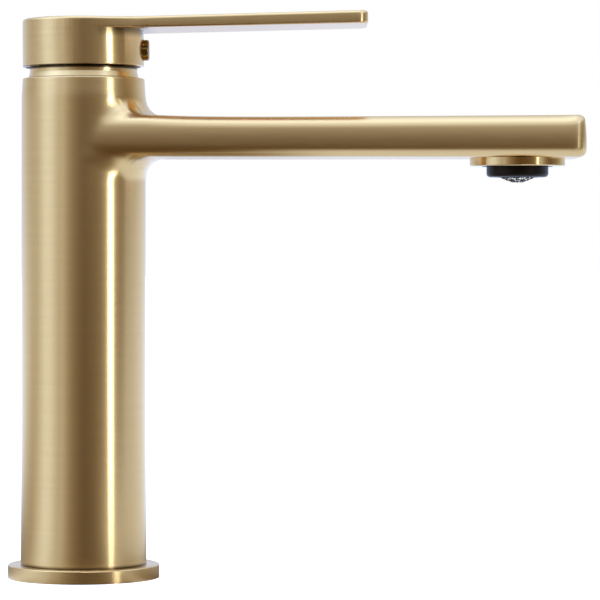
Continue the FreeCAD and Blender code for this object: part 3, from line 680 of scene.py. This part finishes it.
# Levels of the light that the metal mirrors: by angle round the mixer, with 0 on the camera's side and 90 on
# the right, and by how far up it comes from. Each tint goes with a level.
AROUND = ((-180, 0.40), (-142, 0.22), (-104, 0.40), (-88, 0.62), (-72, 0.88), (-60, 0.85), (-50, 0.66),
          (-42, 0.50), (-36, 0.56), (-28, 0.38), (-18, 0.24), (-6, 0.14), (4, 0.10), (20, 0.13), (33, 0.18),
          (41, 0.26), (47, 0.46), (55, 0.58), (62, 0.40), (72, 0.22), (86, 0.15), (98, 0.20),
          (113, 0.27), (133, 0.25), (180, 0.40))
UPWARD = ((0.0, 0.0), (0.11, 0.03), (0.26, 0.18), (0.34, 0.42), (0.60, 0.75), (0.80, 0.95), (1.0, 1.20))
TINTS = ((0.05, (1.0, 0.62, 0.22)), (0.25, (1.0, 0.88, 0.68)), (0.50, (1.0, 1.10, 1.28)),
         (1.20, (1.0, 1.34, 2.2)))
TOP_TINT_LEVEL = TINTS[-1][0]
TINT_SCALE = 3.0  # tints go into the colour ramp divided by this, and the strength makes up for it
AROUND_FADES, WORLD_BEHIND, WORLD_BEHIND_LEVEL = (0.55, 0.9), (0.2, 0.9), 0.68
UNDER_SPOUT_X, UNDER_SPOUT_Y, UNDER_SPOUT_LEVEL = (0.05, 0.10), (-0.25, -0.08), 0.80
FLOOR_BEHIND, FLOOR_BEHIND_LEVEL = (0.0, 0.6), 0.95
AIM = Vector((0.0, 0.0, 0.1))


def area_light(name, place, width, tall, energy, colour):
    """A rectangular light turned to the middle of the mixer."""
    data = bpy.data.lights.new(name, "AREA")
    data.shape = "RECTANGLE"
    data.size = width
    data.size_y = tall
    data.energy = energy
    data.color = colour
    light = bpy.data.objects.new(name, data)
    bpy.context.scene.collection.objects.link(light)
    light.location = place
    light.rotation_euler = (AIM - light.location).to_track_quat("-Z", "Y").to_euler()
    return light


def ramp_of(tree, value, stops, low, high):
    """A smooth run of levels: each stop gives the place of a level between low and high."""
    ramp = tree.nodes.new("ShaderNodeValToRGB")
    peak = max(level for place, level in stops)
    elements = ramp.color_ramp.elements
    while len(elements) < len(stops):
        elements.new(0.5)
    for element, (place, level) in zip(elements, stops):
        element.position = (place - low) / (high - low)
        element.color = (level / peak,) * 3 + (1,)
    made = node(tree, "MapRange", Value=value)
    made.inputs["From Min"].default_value = low
    made.inputs["From Max"].default_value = high
    tree.links.new(made.outputs["Result"], ramp.inputs["Fac"])
    return math_node(tree, "MULTIPLY", ramp.outputs["Color"], peak)


def tinted(tree, level):
    """Light of that level: warm where it is dim and cool where it is bright."""
    made = node(tree, "MapRange", Value=level)
    made.inputs["From Max"].default_value = TOP_TINT_LEVEL
    ramp = tree.nodes.new("ShaderNodeValToRGB")
    elements = ramp.color_ramp.elements
    while len(elements) < len(TINTS):
        elements.new(0.5)
    for element, (place, colour) in zip(elements, TINTS):
        element.position = place / TOP_TINT_LEVEL
        element.color = shaded(colour, 1 / TINT_SCALE)
    tree.links.new(made.outputs["Result"], ramp.inputs["Fac"])
    return ramp.outputs["Color"]


def around_level(tree, parts):
    """The level of light that comes from a direction, or lies on the floor that way."""
    front = math_node(tree, "MULTIPLY", parts["Y"], -1.0)
    turn = math_node(tree, "DEGREES", math_node(tree, "ARCTAN2", parts["X"], front))
    return ramp_of(tree, turn, AROUND, -180.0, 180.0)


def lit(tree, shader, level):
    """Give a background or emission that level, with its tint."""
    tree.links.new(math_node(tree, "MULTIPLY", level, TINT_SCALE), shader.inputs["Strength"])
    tree.links.new(tinted(tree, level), shader.inputs["Color"])


def seen_or_mirrored(tree, mirrored, seen, target):
    """Show the camera one shader, and the metal's reflections another."""
    mix = tree.nodes.new("ShaderNodeMixShader")
    tree.links.new(node(tree, "LightPath").outputs["Is Camera Ray"], mix.inputs["Fac"])
    tree.links.new(mirrored.outputs[0], mix.inputs[1])
    tree.links.new(seen.outputs[0], mix.inputs[2])
    tree.links.new(mix.outputs[0], target.inputs["Surface"])


def studio_world():
    """White backdrop; what the metal mirrors is dim on the camera's side and bright behind and above."""
    world = bpy.data.worlds.new("studio")
    bpy.context.scene.world = world
    world.use_nodes = True
    tree = world.node_tree
    mirrored = tree.nodes["Background"]
    direction = node(tree, "TexCoord").outputs["Generated"]
    parts = node(tree, "SeparateXYZ", Vector=direction).outputs
    level = around_level(tree, parts)
    level = mix_value(tree, smooth_range(tree, parts["Z"], *AROUND_FADES), level, 0.0)
    upward = ramp_of(tree, parts["Z"], UPWARD, 0.0, 1.0)
    level = math_node(tree, "ADD", level, upward)
    level = mix_value(tree, smooth_range(tree, parts["Y"], *WORLD_BEHIND), level, WORLD_BEHIND_LEVEL)
    lit(tree, mirrored, level)
    white = tree.nodes.new("ShaderNodeBackground")
    white.inputs["Color"].default_value = (1, 1, 1, 1)
    white.inputs["Strength"].default_value = 1.0
    seen_or_mirrored(tree, mirrored, white, tree.nodes["World Output"])


def studio_floor():
    """A plain pale floor; the metal mirrors it dim in front of the mixer and bright behind it."""
    bpy.ops.mesh.primitive_plane_add(size=24.0, location=(0, 0, 0))
    floor = bpy.context.object
    floor.name = "studio_floor"
    material, tree, shader = new_material("studio_floor")
    shader.inputs["Base Color"].default_value = (0.86, 0.86, 0.86, 1)
    shader.inputs["Roughness"].default_value = 0.9
    shader.inputs["Emission Color"].default_value = (1, 1, 1, 1)
    shader.inputs["Emission Strength"].default_value = 0.66
    place = node(tree, "TexCoord").outputs["Object"]
    parts = node(tree, "SeparateXYZ", Vector=place).outputs
    level = around_level(tree, parts)
    under_spout = math_node(tree, "MULTIPLY", smooth_range(tree, parts["X"], *UNDER_SPOUT_X),
                            smooth_range(tree, parts["Y"], *UNDER_SPOUT_Y))
    level = mix_value(tree, under_spout, level, UNDER_SPOUT_LEVEL)
    level = mix_value(tree, smooth_range(tree, parts["Y"], *FLOOR_BEHIND), level, FLOOR_BEHIND_LEVEL)
    mirrored = tree.nodes.new("ShaderNodeEmission")
    lit(tree, mirrored, level)
    seen_or_mirrored(tree, mirrored, shader, tree.nodes["Material Output"])
    floor.data.materials.append(material)


def studio_camera():
    """A level camera with a long lens, a little over a metre in front of the mixer."""
    data = bpy.data.cameras.new("camera")
    data.lens = CAMERA_LENS
    data.sensor_width = 36.0
    data.shift_y = CAMERA_SHIFT
    data.clip_end = 50.0
    camera = bpy.data.objects.new("camera", data)
    camera.location = CAMERA_PLACE
    camera.rotation_euler = (math.radians(90), 0, 0)
    bpy.context.scene.collection.objects.link(camera)
    bpy.context.scene.camera = camera


studio_world()
studio_floor()
studio_camera()
strip = area_light("strip", (0.424, -0.303, 0.1), width=0.08, tall=0.9, energy=0.045,
                   colour=(0.78, 0.88, 1.0))
strip.data.spread = math.radians(24)  # narrow, so that it shines at the column and not at the spout's tip
area_light("overhead", (0.0, -0.3, 1.3), width=1.0, tall=0.5, energy=0.2 * math.pi, colour=(0.77, 0.85, 1.0))
bpy.context.scene.view_settings.view_transform = "Standard"
